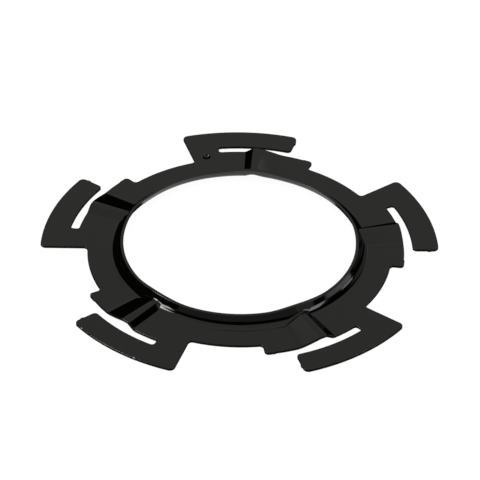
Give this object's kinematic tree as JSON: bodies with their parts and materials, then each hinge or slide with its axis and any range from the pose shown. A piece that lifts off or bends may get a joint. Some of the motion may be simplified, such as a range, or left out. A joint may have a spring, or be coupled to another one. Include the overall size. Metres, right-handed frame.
{
  "type": "toilet flange ring",
  "caption": "Twist-lock ring for a toilet flange, formed from black coated steel sheet: a flat band with hooked arms beside pressed cams, and a collar turned up round its opening.",
  "frame": {"origin": "centre of the ring on its flat underside", "axes": "+Z along the opening's axis, the way the collar is turned up; one arm's straight root edge lies along -X, and the fingers run clockwise from their roots seen from +Z"},
  "size_m": [0.1779, 0.173, 0.0066],
  "materials": {
    "black_coating": "satin black coating on steel sheet"
  },
  "bodies": {
    "root": {"lock_ring": "black_coating"}
  },
  "joints": []
}
